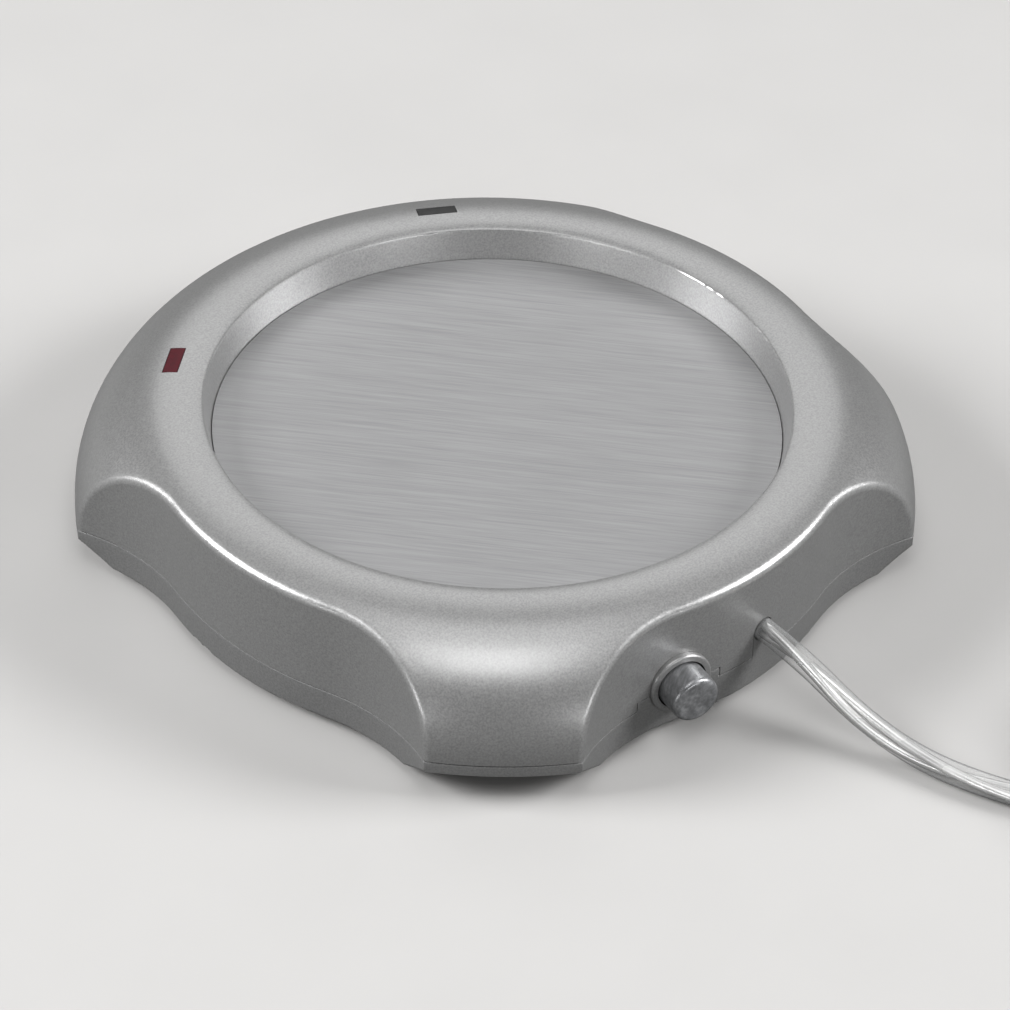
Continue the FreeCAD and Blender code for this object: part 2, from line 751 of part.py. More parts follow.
def cord_coil():
    knots = coil_knots()
    first, last = knots[0], knots[-1]
    entry = first[0] - first[1] * cord_diameter
    leave = last[0] + last[1] * cord_diameter
    edges = [Part.LineSegment(entry, first[0]).toShape()]
    for a, b in zip(knots, knots[1:]):
        edges += biarc(a[0], a[1], b[0], b[1])
    edges.append(Part.LineSegment(last[0], leave).toShape())
    print_least_gap(edges)
    return tube(edges, cord_radius, "coil")


def print_least_gap(edges):
    points = []
    for edge in edges:
        points += edge.discretize(7)[:-1]
    walked, run = [0.0], 0.0
    for a, b in zip(points, points[1:]):
        run += (b - a).Length
        walked.append(run)
    least = min((p - q).Length for i, p in enumerate(points) for j, q in enumerate(points[:i])
                if walked[i] - walked[j] > 4 * cord_diameter)
    print("coil least gap", round(least - cord_diameter, 2))


def tail_route():
    # From the coil's top turn to the back of the plug's strain relief, in the moved frame
    last, way = coil_knots()[-1]
    leave = last + way * cord_diameter
    drop = plug_centre_height - leave.z
    return [leave, leave + way * 10.0, leave + Vector(22.0, 4.0, drop), leave + Vector(31.0, 4.0, drop)]


def plug_frame(shape):
    # Moves a shape drawn along +X from the back of the strain relief to where the plug lies
    copy = shape.copy()
    copy.translate(tail_route()[-1])
    return copy


def plug_relief():
    return plug_frame(Part.makeCone(cord_radius + 0.4, relief_radius, relief_length, Vector(0, 0, 0), Vector(1, 0, 0)))


def plug_body():
    start = relief_length
    body = box((start, -plug_width / 2, -plug_height / 2), (start + plug_length, plug_width / 2, plug_height / 2))
    body = body.makeFillet(1.6, [e for e in body.Edges if e.BoundBox.XLength > 1.0])
    body = body.makeFillet(1.0, [e for e in body.Edges if e.BoundBox.XLength < 0.01 and e.BoundBox.XMin < start + 0.01])
    return plug_frame(body)


def plug_shell():
    start = relief_length + plug_length
    t = shell_thickness
    outer = box((start, -shell_width / 2, -shell_height / 2), (start + shell_length, shell_width / 2, shell_height / 2))
    inner = box((start - 1, -shell_width / 2 + t, -shell_height / 2 + t),
                (start + shell_length + 1, shell_width / 2 - t, shell_height / 2 - t))
    shell = outer.cut(inner)
    for y in (-2.9, 2.9):
        shell = shell.cut(box((start + 5.2, y - 1.2, -5), (start + 7.8, y + 1.2, 5)))
    return plug_frame(shell)


def plug_tongue():
    start = relief_length + plug_length
    half = shell_width / 2 - shell_thickness
    low = -shell_height / 2 + shell_thickness
    return plug_frame(box((start, -half, low), (start + shell_length - 0.4, half, low + 1.6)))


def plug_contacts():
    start = relief_length + plug_length
    top = -shell_height / 2 + shell_thickness + 1.6
    return [plug_frame(box((start + 1.5, y - 0.5, top), (start + shell_length - 2.0, y + 0.5, top + 0.25)))
            for y in (-3.5, -1.0, 1.0, 3.5)]


def cord_tie():
    # A flat band round the bundle of turns
    near, far = coil_inner_radius() - cord_radius - 0.35, coil_outer_radius + cord_radius + 0.35
    low, high = coil_start.z - cord_radius - 0.05, coil_start.z + coil_layer_rise + cord_radius + 0.35
    t = tie_thickness
    outer = box((near - t, -tie_width / 2, low - t), (far + t, tie_width / 2, high + t))
    inner = box((near, -tie_width, low), (far, tie_width, high))
    outer = outer.makeFillet(1.2, [e for e in outer.Edges if e.BoundBox.YLength > 1.0 and e.BoundBox.XLength < 0.01])
    band = turned(outer.cut(inner), tie_direction)
    band.translate(Vector(coil_centre().x, coil_centre().y, 0))
    return band


def housing_parts():
    parts = {
        "top_cover": top_cover(),
        "bottom_cover": bottom_cover(),
        "warming_plate": warming_plate(),
        "plate_seal": plate_seal(),
        "heater_disc": heater_disc(),
        "insulation_pad": insulation_pad(),
        "heat_shield": heat_shield(),
        "stack_screws": stack_screws(),
        "cover_screws": cover_screws(),
        "red_lens": lens(lens_directions["red"]),
        "grey_lens": lens(lens_directions["grey"]),
        "heating_lamp": lamp(lens_directions["red"]),
        "standby_lamp": lamp(lens_directions["grey"]),
        "lamp_board": lamp_board(),
        "control_board": control_board(),
        "board_screws": board_screws(),
        "board_parts": board_parts(),
        "power_button": button_cap(),
        "button_collar": button_collar(),
        "switch_plunger": switch_plunger(),
        "push_switch": push_switch(),
        "return_spring": return_spring(),
        "thermal_cutout": thermal_cutout(),
        "cutout_clip": cutout_clip(),
        "cord_clamp": cord_clamp(),
        "clamp_screws": clamp_screws(),
        "cord_inner_end": cord_inner_end_piece(),
        "supply_leads": supply_leads(),
        "heater_leads": heater_leads(),
        "lamp_leads": lamp_leads(),
    }
    for name, direction in zip(foot_names, post_directions):
        parts[name] = foot(direction)
    return parts


def cord_parts():
    return {
        "power_cord": tube(route_edges(cord_route, "cord"), cord_radius, "cord"),
        "cord_coil": cord_coil(),
        "cord_tail": tube(route_edges(tail_route(), "tail"), cord_radius, "tail"),
        "cord_tie": cord_tie(),
        "plug_relief": plug_relief(),
        "plug_body": plug_body(),
        "plug_shell": plug_shell(),
        "plug_tongue": plug_tongue(),
        "plug_contacts": plug_contacts(),
    }


def save(name, shape, move):
    if isinstance(shape, list):
        shape = Part.makeCompound(shape)
    shape = shape.copy()
    shape.translate(move)
    if not shape.isValid() or not shape.Solids:
        print("check this solid:", name)
    shape.exportStep("parts/" + name + ".step")
    print(name, len(shape.Solids), "solids", round(shape.Volume / 1000.0, 2), "cm3")


def main():
    os.makedirs("parts", exist_ok=True)
    for name, shape in housing_parts().items():
        save(name, shape, Vector(0, plate_axis_y, 0))
    for name, shape in cord_parts().items():
        save(name, shape, Vector(0, 0, 0))


main()
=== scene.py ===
import math

import bpy
from mathutils import Matrix, Vector


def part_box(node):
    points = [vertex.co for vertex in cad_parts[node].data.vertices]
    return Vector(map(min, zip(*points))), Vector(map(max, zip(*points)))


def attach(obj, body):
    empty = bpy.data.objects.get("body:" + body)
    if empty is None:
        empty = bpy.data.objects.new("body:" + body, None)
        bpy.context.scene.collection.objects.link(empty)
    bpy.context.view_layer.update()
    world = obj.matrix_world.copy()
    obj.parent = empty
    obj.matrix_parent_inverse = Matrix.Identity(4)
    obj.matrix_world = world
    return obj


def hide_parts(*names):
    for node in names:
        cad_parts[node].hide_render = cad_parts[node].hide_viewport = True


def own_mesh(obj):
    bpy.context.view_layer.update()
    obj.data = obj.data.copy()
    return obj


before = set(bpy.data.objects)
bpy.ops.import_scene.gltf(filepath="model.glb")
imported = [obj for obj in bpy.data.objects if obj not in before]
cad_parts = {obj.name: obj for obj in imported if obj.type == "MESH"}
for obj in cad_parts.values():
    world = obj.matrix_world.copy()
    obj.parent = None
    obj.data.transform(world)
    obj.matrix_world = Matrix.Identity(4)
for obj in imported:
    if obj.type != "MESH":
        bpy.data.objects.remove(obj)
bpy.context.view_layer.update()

# Electric mug warmer, in metres, standing on z = 0. The plate's axis is a little forward of the origin.
plateAxis = Vector((0.0, -0.0032, 0.0))
mm = 0.001


def hexColour(text):
    # sRGB hex to linear, with alpha 1
    parts = [int(text[i:i + 2], 16) / 255 for i in (0, 2, 4)]
    return tuple(c / 12.92 if c <= 0.04045 else ((c + 0.055) / 1.055) ** 2.4 for c in parts) + (1.0,)


def deselectAll():
    if bpy.context.mode != "OBJECT":
        bpy.ops.object.mode_set(mode="OBJECT")
    bpy.ops.object.select_all(action="DESELECT")


def makeActive(piece):
    deselectAll()
    piece.select_set(True)
    bpy.context.view_layer.objects.active = piece


cameraSettings = {
    "place": (-0.4132, -0.3874, 0.4537),
    "back": (-0.5827, -0.5417, 0.6059),
    "right": (0.6809, -0.7324, 0.0),
    "roll": 1.743,
    "aimDown": 1.3045,
    "aimRight": 0.0805,
    "lens": 165.4,
}

lightSettings = {
    "left": {"place": (-0.80, 0.72, 0.70), "size": (0.6, 0.5), "watts": 21.5},
    "right": {"place": (0.78, -0.80, 0.66), "size": (0.6, 0.5), "watts": 20.0},
    "behind": {"place": (0.85, 0.80, 0.95), "size": (1.3, 0.9), "watts": 4.5},
    "above": {"place": (-0.05, -0.05, 1.15), "size": (0.7, 0.7), "watts": 2.2},
    "front": {"place": (-0.36, -0.34, 0.88), "size": (0.45, 0.45), "watts": 2.4},
    "lowLeft": {"place": (-1.0, -0.15, 0.14), "size": (0.5, 0.12), "watts": 1.7},
    "lowRight": {"place": (-0.15, -1.0, 0.14), "size": (0.5, 0.12), "watts": 1.7},
    "worldGrey": "b6b6b4",
    "worldStrength": 0.09,
}


def addCamera(s):
    data = bpy.data.cameras.new("camera")
    data.lens = s["lens"]
    data.sensor_width = 36.0
    data.clip_start = 0.01
    camera = bpy.data.objects.new("camera", data)
    bpy.context.scene.collection.objects.link(camera)
    back, right = Vector(s["back"]).normalized(), Vector(s["right"]).normalized()
    up = back.cross(right)
    axes = Matrix((right, up, back)).transposed().to_4x4()
    turn = Matrix.Rotation(math.radians(s["roll"]), 4, "Z")
    down = Matrix.Rotation(math.radians(-s["aimDown"]), 4, "X")
    aim = down @ Matrix.Rotation(math.radians(-s["aimRight"]), 4, "Y")
    camera.matrix_world = Matrix.Translation(s["place"]) @ axes @ turn @ aim
    bpy.context.scene.camera = camera
    return camera


def addLights(s):
    for name in ("left", "right", "behind", "above", "front", "lowLeft", "lowRight"):
        entry = s[name]
        data = bpy.data.lights.new(name + "Softbox", "AREA")
        data.shape = "RECTANGLE"
        data.size, data.size_y = entry["size"]
        data.energy = entry["watts"]
        lamp = bpy.data.objects.new(name + "Softbox", data)
        bpy.context.scene.collection.objects.link(lamp)
        lamp.location = entry["place"]
        lamp.rotation_euler = (Vector((0, 0, 0.01)) - lamp.location).to_track_quat("-Z", "Y").to_euler()
    world = bpy.data.worlds.new("studio")
    bpy.context.scene.world = world
    world.use_nodes = True
    world.node_tree.nodes["Background"].inputs["Color"].default_value = hexColour(s["worldGrey"])
    world.node_tree.nodes["Background"].inputs["Strength"].default_value = s["worldStrength"]
    # Plain transfer curve, so that the lacquer keeps the photograph's contrast
    bpy.context.scene.view_settings.view_transform = "Standard"


def addNode(tree, kind, links=None, **settings):
    # One node with its settings; links maps an input's name to a value or to another node's output
    node = tree.nodes.new(kind)
    for name, value in settings.items():
        setattr(node, name, value)
    for name, value in (links or {}).items():
        if isinstance(value, bpy.types.NodeSocket):
            tree.links.new(value, node.inputs[name])
        else:
            node.inputs[name].default_value = value
    return node


def startMaterial(name, sockets):
    material = bpy.data.materials.new(name)
    material.use_nodes = True
    tree = material.node_tree
    shader = tree.nodes["Principled BSDF"]
    for socket, value in sockets.items():
        shader.inputs[socket].default_value = value
    return material, tree, shader


def objectSpace(tree, size=(1.0, 1.0, 1.0), turn=0.0):
    # The piece's own place, divided so that one step of a pattern is the given size in mm along each axis
    place = addNode(tree, "ShaderNodeTexCoord")
    links = {
        "Vector": place.outputs["Object"],
        "Rotation": (0, 0, math.radians(turn)),
        "Scale": tuple(v * mm for v in size),
    }
    mapping = addNode(tree, "ShaderNodeMapping", links, vector_type="TEXTURE")
    return mapping.outputs["Vector"]


def noise(tree, size, detail=2.0, turn=0.0, **values):
    # Noise whose lumps are about the given size in millimetres
    sizes = size if isinstance(size, tuple) else (size, size, size)
    links = {"Vector": objectSpace(tree, sizes, turn), "Scale": 1.0, "Detail": detail}
    links.update(values)
    return addNode(tree, "ShaderNodeTexNoise", links).outputs["Fac"]


def ramp(tree, factor, stops):
    node = addNode(tree, "ShaderNodeValToRGB", {"Fac": factor})
    line = node.color_ramp
    while len(line.elements) < len(stops):
        line.elements.new(0.5)
    for element, (at, colour) in zip(line.elements, stops):
        element.position = at
        element.color = hexColour(colour)
    return node.outputs["Color"]


def spread(tree, value, low, high, start=0.3, end=0.7):
    node = addNode(tree, "ShaderNodeMapRange", {"Value": value, "From Min": start, "From Max": end,
                                                "To Min": low, "To Max": high})
    return node.outputs["Result"]


def bump(tree, shader, height, depth, strength):
    node = addNode(tree, "ShaderNodeBump", {"Height": height, "Distance": depth, "Strength": strength})
    tree.links.new(node.outputs["Normal"], shader.inputs["Normal"])


# The free cord lies on the table in one line: the seen stretch, the coil put away, and the tail to the plug
cordSettings = {
    "diameter": 3.6,
    "seenPoints": [(0.0, -58.2, 11.4), (0.1, -66.2, 10.1), (1.25, -75.8, 4.9), (2.9, -86.3, 1.85),
                   (5.4, -98.05, 1.9), (10.5, -110.55, 2.3), (10.5, -119.95, 2.3)],
    "coilStart": (10.5, -123.55, 2.3),
    "outerRadius": 29.5,
    "pitch": 4.4,
    "quartersIn": 14,
    "quartersOut": 13,
    "layerRise": 4.2,
    "drawIn": 0.6,
    "pointsPerQuarter": 4,
    "tailPoints": [(3.6, 0.0, 0.0), (13.6, 0.0, 0.0), (25.6, 4.0, -2.45), (34.6, 4.0, -2.45)],
    "realLength": 1.06,
    "strandRadius": 0.78,
    "strandOffset": 0.82,
    "strandPitch": 60.0,
    "strandStep": 1.4,
    "strandSides": 8,
}


def coilPoints(s):
    # Turns that spiral in, climb one layer in a half turn, and spiral out again on top
    start, step = Vector(s["coilStart"]), s["pointsPerQuarter"]
    centre = start + Vector((s["outerRadius"], 0, 0))
    inner = s["outerRadius"] - s["pitch"] * s["quartersIn"] / 4
    climbEnd = s["quartersIn"] + 2
    points = []
    for i in range((climbEnd + s["quartersOut"]) * step + 1):
        q = i / step
        radius, rise = s["outerRadius"] - s["pitch"] * q / 4, 0.0
        if q >= climbEnd:
            radius, rise = inner + s["pitch"] * (q - climbEnd) / 4, s["layerRise"]
        elif q > s["quartersIn"]:
            part = (q - s["quartersIn"]) / 2
            radius = inner - s["drawIn"] * math.sin(math.pi * part)
            rise = s["layerRise"] * (0.5 - 0.5 * math.cos(math.pi * part))
        turn = math.radians(180.0 + 90.0 * q)
        points.append(centre + Vector((radius * math.cos(turn), radius * math.sin(turn), rise)))
    return points


def addCord(s):
    coil = coilPoints(s)
    route = [Vector(p) for p in s["seenPoints"]] + coil + [coil[-1] + Vector(p) for p in s["tailPoints"]]
    data = bpy.data.curves.new("powerCord", "CURVE")
    data.dimensions = "3D"
    spline = data.splines.new("NURBS")
    spline.points.add(len(route) - 1)
    for point, place in zip(spline.points, route):
        point.co = (*(place * mm), 1.0)
    spline.order_u = 3
    spline.use_endpoint_u = True
    spline.resolution_u = 6
    cord = bpy.data.objects.new("powerCord", data)
    bpy.context.scene.collection.objects.link(cord)
    line = linePoints(cord)
    data.bevel_depth = s["diameter"] / 2 * mm
    data.bevel_resolution = 5
    data.use_fill_caps = True
    return cord, line


def linePoints(cord):
    # The smooth line that the cord's curve follows, as points in order
    mesh = bpy.data.meshes.new_from_object(cord)
    points = [v.co.copy() for v in mesh.vertices]
    bpy.data.meshes.remove(mesh)
    return points


def evenPoints(line, step):
    points, carry = [line[0]], 0.0
    for a, b in zip(line, line[1:]):
        length = (b - a).length
        at = step - carry
        while at <= length:
            points.append(a.lerp(b, at / length))
            at += step
        carry = length - (at - step)
    return points


def addStrand(name, line, s, phase):
    # One bright conductor that twists along the cord inside its clear jacket
    points = evenPoints(line, s["strandStep"] * mm)
    verts, faces = [], []
    side = Vector((0, 0, 1))
    sides = s["strandSides"]
    for i, here in enumerate(points):
        way = (points[min(i + 1, len(points) - 1)] - points[max(i - 1, 0)]).normalized()
        side = (side - way * side.dot(way)).normalized()
        other = way.cross(side)
        turn = 2 * math.pi * i * s["strandStep"] / s["strandPitch"] + phase
        middle = here + (side * math.cos(turn) + other * math.sin(turn)) * s["strandOffset"] * mm
        for k in range(sides):
            angle = 2 * math.pi * k / sides
            verts.append(middle + (side * math.cos(angle) + other * math.sin(angle)) * s["strandRadius"] * mm)
    for i in range(len(points) - 1):
        for k in range(sides):
            a, b = i * sides + k, i * sides + (k + 1) % sides
            faces.append((a, b, b + sides, a + sides))
    faces.append(tuple(reversed(range(sides))))
    faces.append(tuple((len(points) - 1) * sides + k for k in range(sides)))
    mesh = bpy.data.meshes.new(name)
    mesh.from_pydata(verts, [], faces)
    mesh.shade_smooth()
    strand = bpy.data.objects.new(name, mesh)
    bpy.context.scene.collection.objects.link(strand)
    return strand


# Each finish is named for the real material, with what it gives the eye
def silverPaint(name, dark, light, roughness):
    # Silver lacquer over moulded ABS: mid-grey with a fine sparkle of metal flakes and a soft semi-gloss
    sockets = {"Metallic": 0.62, "Coat Weight": 0.1, "Coat Roughness": 0.2}
    material, tree, shader = startMaterial(name, sockets)
    # Flakes are a few hundredths of a millimetre; 0.3 mm here, so that they show
    flakes = noise(tree, 0.3)
    tree.links.new(ramp(tree, flakes, [(0.3, dark), (0.7, light)]), shader.inputs["Base Color"])
    tree.links.new(spread(tree, flakes, roughness - 0.03, roughness + 0.03), shader.inputs["Roughness"])
    bump(tree, shader, flakes, 0.000002, 0.2)
    return material


def brushedAluminium():
    # Brushed aluminium plate: straight, very fine lines one way, pale grey, with a satin sheen across them
    material, tree, shader = startMaterial("brushedAluminium", {"Metallic": 0.8})
    # Lines a few hundredths of a millimetre wide, drawn 0.14 to 0.4 mm wide so that they show
    brushTurn = -54.1
    fine = noise(tree, (7.0, 0.14, 50.0), 2.0, brushTurn)
    broad = noise(tree, (18.0, 0.4, 50.0), 2.0, brushTurn)
    mixed = addNode(tree, "ShaderNodeMath", {0: fine, 1: broad}, operation="ADD").outputs[0]
    half = spread(tree, mixed, 0.0, 1.0, 0.7, 1.3)
    tree.links.new(ramp(tree, half, [(0.0, "989899"), (1.0, "aaaaab")]), shader.inputs["Base Color"])
    tree.links.new(spread(tree, half, 0.42, 0.5, 0.0, 1.0), shader.inputs["Roughness"])
    bump(tree, shader, mixed, 0.000004, 0.5)
    return material


def moulded(name, dark, light, roughness, grain, depth, **sockets):
    # Moulded polymer: even colour with a slight cloudiness and the fine grain of the tool it was made in
    material, tree, shader = startMaterial(name, sockets)
    texture = noise(tree, grain, 3.0)
    tree.links.new(ramp(tree, texture, [(0.3, dark), (0.7, light)]), shader.inputs["Base Color"])
    tree.links.new(spread(tree, texture, roughness - 0.05, roughness + 0.06), shader.inputs["Roughness"])
    bump(tree, shader, texture, depth * mm, 0.5)
    return material


def sheetMetal(name, dark, light, roughness, grain):
    # Rolled or plated metal: bright, with a faint drawn grain along the sheet
    material, tree, shader = startMaterial(name, {"Metallic": 1.0})
    lines = noise(tree, (grain * 12, grain, grain), 3.0)
    tree.links.new(ramp(tree, lines, [(0.3, dark), (0.7, light)]), shader.inputs["Base Color"])
    tree.links.new(spread(tree, lines, roughness - 0.05, roughness + 0.08), shader.inputs["Roughness"])
    bump(tree, shader, lines, 0.00001, 0.4)
    return material


def circuitBoard():
    # Glass-epoxy board under green solder mask: a glossy skin over faint tracks 6 mm apart
    material, tree, shader = startMaterial("solderMask", {"Roughness": 0.32})
    links = {
        "Vector": objectSpace(tree, (6.0, 6.0, 6.0)),
        "Scale": 1.0,
        "Mortar Size": 0.05,
        "Color1": hexColour("1c5a2e"),
        "Color2": hexColour("226636"),
        "Mortar": hexColour("2f7d47"),
    }
    tracks = addNode(tree, "ShaderNodeTexBrick", links)
    tree.links.new(tracks.outputs["Color"], shader.inputs["Base Color"])
    return material


def heaterFilm():
    # Etched heater foil between amber polyimide films: thin dark tracks in rings under an amber gloss
    material, tree, shader = startMaterial("polyimideFilm", {"Roughness": 0.3})
    links = {"Vector": objectSpace(tree, (12.6, 12.6, 12.6)), "Scale": 1.0, "Distortion": 0.0}
    rings = addNode(tree, "ShaderNodeTexWave", links, wave_type="RINGS", rings_direction="Z")
    colour = ramp(tree, rings.outputs["Fac"], [(0.45, "b4721d"), (0.6, "6b5238")])
    tree.links.new(colour, shader.inputs["Base Color"])
    return material


def rubbedSilver():
    # Satin silver lacquer on the button's cap, marked by fingertips, duller where it is worn
    sockets = {"Metallic": 0.6, "Coat Weight": 0.15, "Coat Roughness": 0.2}
    material, tree, shader = startMaterial("rubbedSilver", sockets)
    wear = noise(tree, 1.6, 5.0)
    scuffs = noise(tree, (2.5, 0.35, 0.6), 3.0, 20.0)
    mixed = addNode(tree, "ShaderNodeMath", {0: wear, 1: scuffs}, operation="MULTIPLY").outputs[0]
    colour = ramp(tree, mixed, [(0.12, "77787a"), (0.26, "8d8e90"), (0.4, "a2a3a5")])
    tree.links.new(colour, shader.inputs["Base Color"])
    tree.links.new(spread(tree, mixed, 0.28, 0.46, 0.15, 0.4), shader.inputs["Roughness"])
    bump(tree, shader, mixed, 0.00002, 0.5)
    return material


def clearVinyl():
    # Clear soft vinyl jacket: see-through in the middle, with sharp long highlights; its colour, set by the
    # angle of view, paints shade towards its edges and a highlight at the very rim
    sockets = {"Coat Weight": 1.0, "Coat Roughness": 0.08, "Specular IOR Level": 0.7}
    material, tree, shader = startMaterial("clearVinyl", sockets)
    edge = addNode(tree, "ShaderNodeLayerWeight", {"Blend": 0.5}).outputs["Facing"]
    tree.links.new(spread(tree, edge, 0.12, 0.85, 0.3, 0.95), shader.inputs["Alpha"])
    # Painted shade towards the edges and a painted highlight at the rim, set by the angle of view
    colour = ramp(tree, edge, [(0.3, "d2d3d3"), (0.75, "8b8c8c"), (0.95, "bcbcbc")])
    tree.links.new(colour, shader.inputs["Base Color"])
    skin = noise(tree, 5.0, 1.0)
    tree.links.new(spread(tree, skin, 0.1, 0.18), shader.inputs["Roughness"])
    bump(tree, shader, skin, 0.00003, 0.3)
    return material


def tinnedCopper():
    # Tinned copper conductors: smooth soft silver, duller here and there, that shows as long bright bands
    material, tree, shader = startMaterial("tinnedCopper", {"Metallic": 0.6})
    tin = noise(tree, 7.0, 1.0)
    tree.links.new(ramp(tree, tin, [(0.3, "c9c9c8"), (0.7, "e6e6e5")]), shader.inputs["Base Color"])
    tree.links.new(spread(tree, tin, 0.2, 0.32), shader.inputs["Roughness"])
    return material


def needledFibre():
    # Needled glass fibre: off-white, matt, with short tangled fibres
    material, tree, shader = startMaterial("needledGlassFibre", {"Roughness": 0.95, "Sheen Weight": 0.3})
    fibres = noise(tree, 0.8, 6.0, Distortion=2.5)
    tree.links.new(ramp(tree, fibres, [(0.35, "cfccc2"), (0.65, "ece9df")]), shader.inputs["Base Color"])
    bump(tree, shader, fibres, 0.0002, 0.8)
    return material


def atOrigin(piece):
    # Puts the piece's place into its mesh
    makeActive(piece)
    bpy.ops.object.transform_apply(location=True, rotation=True, scale=True)


def paint(piece, material):
    piece.data.materials.clear()
    piece.data.materials.append(material)


def softenEdges(piece, test, width):
    # Rounds the edges whose two faces pass the test, so that they catch the light as moulded edges do
    bpy.ops.object.mode_set(mode="EDIT")
    bpy.ops.mesh.select_mode(type="EDGE")
    bpy.ops.mesh.select_all(action="DESELECT")
    bpy.ops.object.mode_set(mode="OBJECT")
    faces = {}
    for face in piece.data.polygons:
        for key in face.edge_keys:
            faces.setdefault(key, []).append(face.index)
    for edge in piece.data.edges:
        pair = [piece.data.polygons[i] for i in faces.get(tuple(sorted(edge.vertices)), [])]
        edge.select = len(pair) == 2 and (test(*pair) or test(*reversed(pair)))
    bpy.ops.object.mode_set(mode="EDIT")
    bpy.ops.mesh.bevel(offset=width * mm, segments=2, affect="EDGES")
    bpy.ops.mesh.select_mode(type="VERT")
    bpy.ops.object.mode_set(mode="OBJECT")


seamSettings = {"low": 0.006, "high": 0.0115, "round": 0.3}
tieRound = 0.3


def seamEdge(ledge, wall):
    # The bottom cover's outer edge at the seam: a level ledge beside a wall that faces outwards
    out = Vector((wall.center.x - plateAxis.x, wall.center.y - plateAxis.y, 0.0)).normalized()
    atSeam = ledge.normal.z > 0.9 and seamSettings["low"] < ledge.center.z < seamSettings["high"]
    return atSeam and abs(wall.normal.z) < 0.5 and wall.normal.dot(out) > 0.5


def tieEdge(one, other):
    return one.normal.angle(other.normal) > math.radians(50)


def smoothCopy(node, body, material, angle=28.0, edgeTest=None, edge=0.0):
    # The CAD piece with its triangles joined, so that curved skin shades as one surface
    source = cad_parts[node]
    piece = bpy.data.objects.new(node + "Skin", source.data.copy())
    bpy.context.scene.collection.objects.link(piece)
    piece.matrix_world = source.matrix_world.copy()
    atOrigin(piece)
    bpy.ops.object.mode_set(mode="EDIT")
    bpy.ops.mesh.select_all(action="SELECT")
    bpy.ops.mesh.remove_doubles(threshold=0.000002)
    bpy.ops.object.mode_set(mode="OBJECT")
    if piece.data.attributes.get("custom_normal"):
        piece.data.attributes.remove(piece.data.attributes["custom_normal"])
    if edgeTest:
        softenEdges(piece, edgeTest, edge)
    bpy.ops.object.shade_smooth_by_angle(angle=math.radians(angle))
    # Large faces keep their own direction beside narrow rounds
    even = piece.modifiers.new("evenNormals", "WEIGHTED_NORMAL")
    even.keep_sharp = True
    bpy.ops.object.modifier_apply(modifier="evenNormals")
    paint(piece, material)
    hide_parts(node)
    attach(piece, body)
    return piece


def selectFaces(piece, test):
    # In edit mode: selects the faces for which the test holds
    bpy.ops.mesh.select_all(action="DESELECT")
    bpy.ops.object.mode_set(mode="OBJECT")
    for face in piece.data.polygons:
        face.select = bool(test(face))
    bpy.ops.object.mode_set(mode="EDIT")


springSettings = {
    "direction": 253.2,
    "height": 9.4,
    "front": 44.5,
    "back": 49.9,
    "radius": 2.75,
    "wire": 0.22,
    "turns": 5,
    "keep": 0.537,
}


def addSpring(s, material):
    # A coiled wire on the button's axis: a small circle swept by the screw modifier
    deselectAll()
    bpy.ops.mesh.primitive_circle_add(vertices=10, radius=s["wire"] * mm, location=(s["radius"] * mm, 0, 0),
                                      rotation=(math.pi / 2, 0, 0))
    spring = bpy.context.object
    spring.name = "returnSpringCoil"
    bpy.ops.object.transform_apply(location=True, rotation=True, scale=True)
    length = s["back"] - s["front"] - 2 * s["wire"]
    sweep = spring.modifiers.new("turns", "SCREW")
    sweep.axis = "Z"
    sweep.steps = sweep.render_steps = 28
    sweep.iterations = s["turns"]
    sweep.screw_offset = length / s["turns"] * mm
    sweep.use_smooth_shade = True
    bpy.ops.object.modifier_apply(modifier="turns")
    bpy.ops.object.mode_set(mode="EDIT")
    bpy.ops.mesh.select_all(action="SELECT")
    bpy.ops.mesh.remove_doubles(threshold=0.00001)
    bpy.ops.mesh.select_all(action="DESELECT")
    bpy.ops.mesh.select_non_manifold()
    bpy.ops.mesh.edge_face_add()
    bpy.ops.mesh.select_all(action="SELECT")
    bpy.ops.mesh.normals_make_consistent(inside=False)
    bpy.ops.object.mode_set(mode="OBJECT")
    turn = math.radians(s["direction"])
    way = Vector((math.cos(turn), math.sin(turn), 0))
    spring.rotation_euler = way.to_track_quat("Z", "Y").to_euler()
    spring.location = plateAxis + way * (s["front"] + s["wire"]) * mm + Vector((0, 0, s["height"] * mm))
    atOrigin(spring)
    paint(spring, material)
    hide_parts("return_spring")
    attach(spring, "housing")
    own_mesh(spring)


def addSoftEdges(piece, width, angle):
    # Rounds every edge of the active piece that is sharper than the angle
    soft = piece.modifiers.new("softEdges", "BEVEL")
    soft.width = width * mm
    soft.segments = 2
    soft.limit_method = "ANGLE"
    soft.angle_limit = math.radians(angle)
    bpy.ops.object.modifier_apply(modifier="softEdges")


# The parts of a rib are shares of its pitch
reliefSettings = {
    "sides": 40,
    "cordRadius": 2.2,
    "wideRadius": 3.0,
    "ribs": 5,
    "grooveDepth": 0.5,
    "shoulder": 0.12,
    "shoulderStart": 0.1,
    "ribStart": 0.2,
    "ribEnd": 0.72,
    "lastRibEnd": 0.95,
    "grooveStart": 0.78,
    "softEdge": 0.12,
}


